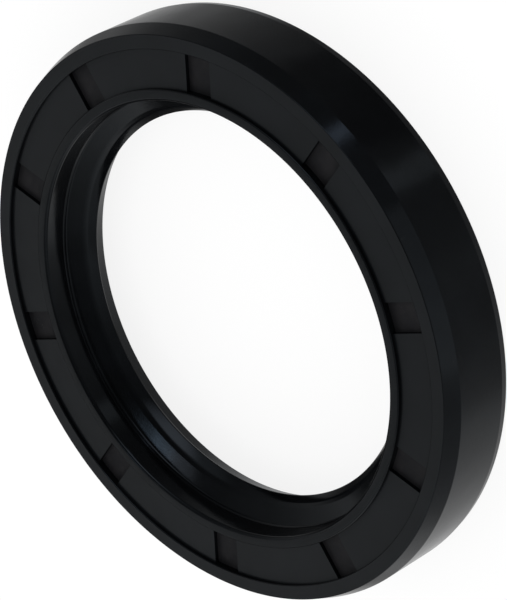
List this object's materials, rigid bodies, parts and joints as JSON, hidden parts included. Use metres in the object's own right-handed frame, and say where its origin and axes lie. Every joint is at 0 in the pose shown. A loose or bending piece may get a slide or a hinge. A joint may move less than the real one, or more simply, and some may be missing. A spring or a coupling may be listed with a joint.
{
  "type": "radial shaft seal",
  "caption": "Rubber-covered radial shaft seal: a ring with a pressed steel case moulded in, one sealing lip and a garter spring behind the lip.",
  "frame": {"origin": "centre of the ring on the plane of its oil side end", "axes": "+Z along the shaft axis, from the oil side end to the air side face; +X lies midway between two face pockets"},
  "size_m": [0.07, 0.07, 0.01],
  "materials": {
    "seal_rubber": "satin moulded nitrile rubber",
    "case_steel": "dull, under a thin dark red-brown bonding coat",
    "spring_steel": "drawn spring wire, lightly oiled"
  },
  "bodies": {
    "root": {"seal_body": "seal_rubber", "steel_case": "case_steel", "garter_spring": "spring_steel"}
  },
  "joints": []
}
